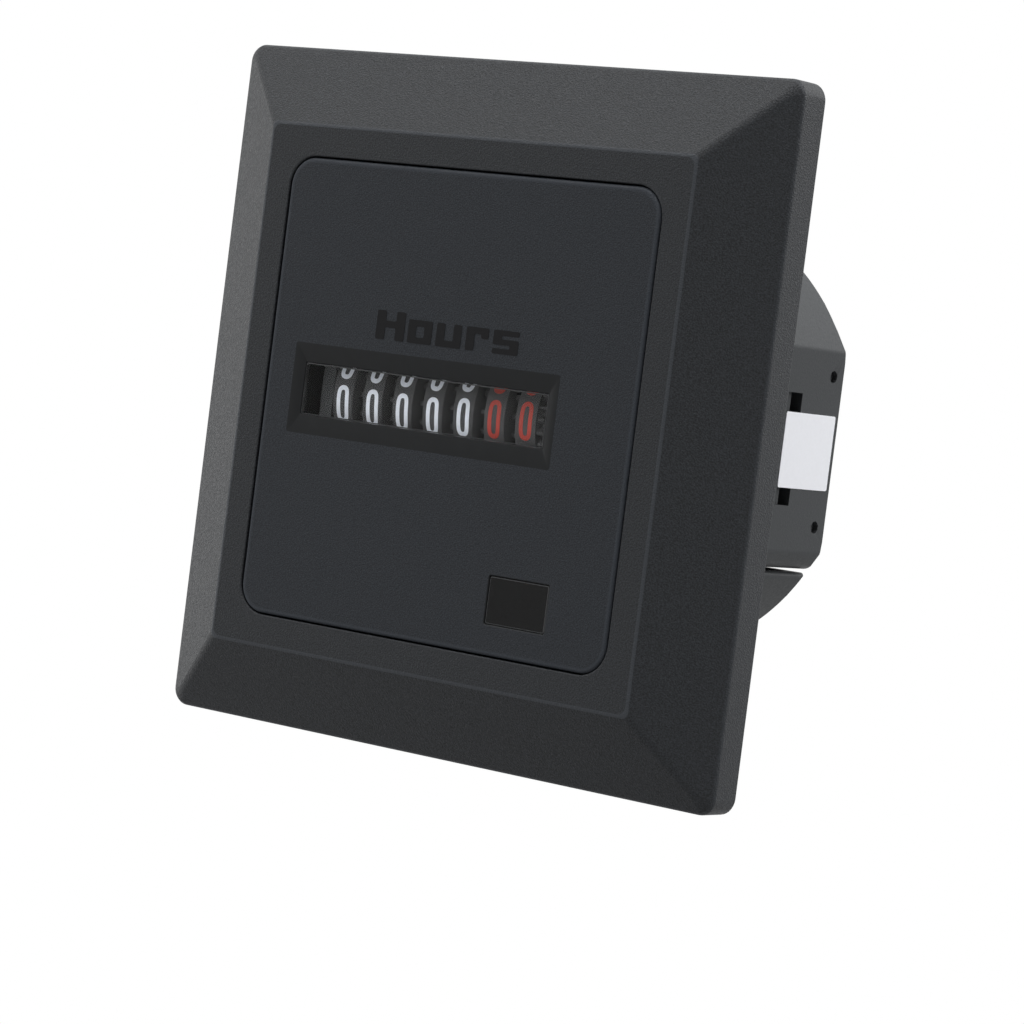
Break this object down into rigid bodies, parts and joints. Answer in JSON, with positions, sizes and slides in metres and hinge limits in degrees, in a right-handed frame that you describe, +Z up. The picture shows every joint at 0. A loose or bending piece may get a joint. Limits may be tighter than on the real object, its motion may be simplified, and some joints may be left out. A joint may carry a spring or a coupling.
{
  "type": "hour meter",
  "caption": "Panel hour meter with number drums behind a window, a motor and gear train in a round body with flats, a square adapter frame and covered screw terminals.",
  "frame": {"origin": "centre of the adapter frame's rear face, which lies against the panel", "axes": "+X right as the dial is read, +Y away from the reader into the panel, +Z up"},
  "size_m": [0.072, 0.04, 0.072],
  "materials": {
    "charcoal_moulding": "fine spark texture",
    "grey_moulding": "satin",
    "black_moulding": "satin",
    "clear_window": "polished",
    "smoked_window": "polished",
    "natural_nylon": "satin",
    "brass": "machined",
    "steel": "plated",
    "enamelled_copper": "enamelled wire",
    "board_laminate": "solder resist",
    "capacitor_case": "moulded",
    "lamp_body": "diffused"
  },
  "bodies": {
    "meter": {"bezel_frame": "charcoal_moulding", "board_capacitor": "capacitor_case", "board_resistor": "grey_moulding", "board_screw_left": "steel", "board_screw_right": "steel", "bridge_screw_1": "steel", "bridge_screw_2": "steel", "circuit_board": "board_laminate", "clock_crystal": "steel", "coil_bobbin": "natural_nylon", "coil_core": "steel", "coil_winding": "enamelled_copper", "controller_chip": "black_moulding", "counter_frame": "grey_moulding", "counter_window": "clear_window", "drum_shaft": "steel", "first_stud": "steel", "frame_screw_left": "steel", "frame_screw_right": "steel", "front_cover": "charcoal_moulding", "housing": "charcoal_moulding", "indicator_lamp": "lamp_body", "indicator_window": "smoked_window", "motor_plate": "grey_moulding", "motor_stator": "steel", "pinion_shaft": "steel", "plate_screw_1": "steel", "plate_screw_2": "steel", "plate_screw_3": "steel", "rear_cover": "charcoal_moulding", "rotor_bridge": "brass", "second_stud": "steel", "terminal_clamp_left": "steel", "terminal_clamp_right": "steel", "terminal_cover": "charcoal_moulding", "terminal_plate_left": "brass", "terminal_plate_right": "brass", "terminal_screw_left": "steel", "terminal_screw_right": "steel"},
    "digit_drum_1": {"digit_drum_1": "black_moulding"},
    "digit_drum_2": {"digit_drum_2": "black_moulding"},
    "digit_drum_3": {"digit_drum_3": "black_moulding"},
    "digit_drum_4": {"digit_drum_4": "black_moulding"},
    "digit_drum_5": {"digit_drum_5": "black_moulding"},
    "digit_drum_6": {"digit_drum_6": "black_moulding"},
    "digit_drum_7": {"digit_drum_7": "black_moulding"},
    "transfer_pinion_1": {"transfer_pinion_1": "natural_nylon"},
    "transfer_pinion_2": {"transfer_pinion_2": "natural_nylon"},
    "transfer_pinion_3": {"transfer_pinion_3": "natural_nylon"},
    "transfer_pinion_4": {"transfer_pinion_4": "natural_nylon"},
    "transfer_pinion_5": {"transfer_pinion_5": "natural_nylon"},
    "transfer_pinion_6": {"transfer_pinion_6": "natural_nylon"},
    "second_wheel": {"second_wheel": "brass"},
    "first_wheel": {"first_wheel": "natural_nylon"},
    "rotor": {"rotor": "steel"}
  },
  "joints": [
    {"name": "second_wheel_spin", "type": "hinge", "parent": "meter", "child": "second_wheel", "pos_m": [0.0119, 0.01017, 0.00175], "axis": [1, 0, 0], "continuous": true},
    {"name": "first_wheel_spin", "type": "hinge", "parent": "meter", "child": "first_wheel", "pos_m": [0.013, 0.01838, 0], "axis": [1, 0, 0], "continuous": true},
    {"name": "rotor_spin", "type": "hinge", "parent": "meter", "child": "rotor", "pos_m": [0.0056, 0.02543, 0.0015], "axis": [1, 0, 0], "continuous": true},
    {"name": "digit_drum_7_spin", "type": "hinge", "parent": "meter", "child": "digit_drum_7", "pos_m": [0.0091, 0.00195, 0], "axis": [1, 0, 0], "continuous": true},
    {"name": "digit_drum_6_spin", "type": "hinge", "parent": "meter", "child": "digit_drum_6", "pos_m": [0.00505, 0.00195, 0], "axis": [1, 0, 0], "continuous": true},
    {"name": "transfer_pinion_6_spin", "type": "hinge", "parent": "meter", "child": "transfer_pinion_6", "pos_m": [0.00707, 0.00195, -0.0084], "axis": [1, 0, 0], "continuous": true},
    {"name": "digit_drum_5_spin", "type": "hinge", "parent": "meter", "child": "digit_drum_5", "pos_m": [0.001, 0.00195, 0], "axis": [1, 0, 0], "continuous": true},
    {"name": "transfer_pinion_5_spin", "type": "hinge", "parent": "meter", "child": "transfer_pinion_5", "pos_m": [0.00302, 0.00195, -0.0084], "axis": [1, 0, 0], "continuous": true},
    {"name": "digit_drum_4_spin", "type": "hinge", "parent": "meter", "child": "digit_drum_4", "pos_m": [-0.00305, 0.00195, 0], "axis": [1, 0, 0], "continuous": true},
    {"name": "transfer_pinion_4_spin", "type": "hinge", "parent": "meter", "child": "transfer_pinion_4", "pos_m": [-0.00103, 0.00195, -0.0084], "axis": [1, 0, 0], "continuous": true},
    {"name": "digit_drum_3_spin", "type": "hinge", "parent": "meter", "child": "digit_drum_3", "pos_m": [-0.0071, 0.00195, 0], "axis": [1, 0, 0], "continuous": true},
    {"name": "transfer_pinion_3_spin", "type": "hinge", "parent": "meter", "child": "transfer_pinion_3", "pos_m": [-0.00507, 0.00195, -0.0084], "axis": [1, 0, 0], "continuous": true},
    {"name": "digit_drum_2_spin", "type": "hinge", "parent": "meter", "child": "digit_drum_2", "pos_m": [-0.01115, 0.00195, 0], "axis": [1, 0, 0], "continuous": true},
    {"name": "transfer_pinion_2_spin", "type": "hinge", "parent": "meter", "child": "transfer_pinion_2", "pos_m": [-0.00912, 0.00195, -0.0084], "axis": [1, 0, 0], "continuous": true},
    {"name": "digit_drum_1_spin", "type": "hinge", "parent": "meter", "child": "digit_drum_1", "pos_m": [-0.0152, 0.00195, 0], "axis": [1, 0, 0], "continuous": true},
    {"name": "transfer_pinion_1_spin", "type": "hinge", "parent": "meter", "child": "transfer_pinion_1", "pos_m": [-0.01317, 0.00195, -0.0084], "axis": [1, 0, 0], "continuous": true}
  ],
  "couplings": [
    {"joint": "first_wheel_spin", "follows": "second_wheel_spin", "ratio": -6},
    {"joint": "rotor_spin", "follows": "second_wheel_spin", "ratio": 30},
    {"joint": "digit_drum_7_spin", "follows": "second_wheel_spin", "ratio": -0.16667},
    {"joint": "digit_drum_6_spin", "follows": "second_wheel_spin", "ratio": -0.016667},
    {"joint": "transfer_pinion_6_spin", "follows": "second_wheel_spin", "ratio": 0.041667},
    {"joint": "digit_drum_5_spin", "follows": "second_wheel_spin", "ratio": -0.0016667},
    {"joint": "transfer_pinion_5_spin", "follows": "second_wheel_spin", "ratio": 0.0041667},
    {"joint": "digit_drum_4_spin", "follows": "second_wheel_spin", "ratio": -0.00016667},
    {"joint": "transfer_pinion_4_spin", "follows": "second_wheel_spin", "ratio": 0.00041667},
    {"joint": "digit_drum_3_spin", "follows": "second_wheel_spin", "ratio": -0.000016667},
    {"joint": "transfer_pinion_3_spin", "follows": "second_wheel_spin", "ratio": 0.000041667},
    {"joint": "digit_drum_2_spin", "follows": "second_wheel_spin", "ratio": -0.0000016667},
    {"joint": "transfer_pinion_2_spin", "follows": "second_wheel_spin", "ratio": 0.0000041667},
    {"joint": "digit_drum_1_spin", "follows": "second_wheel_spin", "ratio": -0.00000016667},
    {"joint": "transfer_pinion_1_spin", "follows": "second_wheel_spin", "ratio": 0.00000041667}
  ]
}
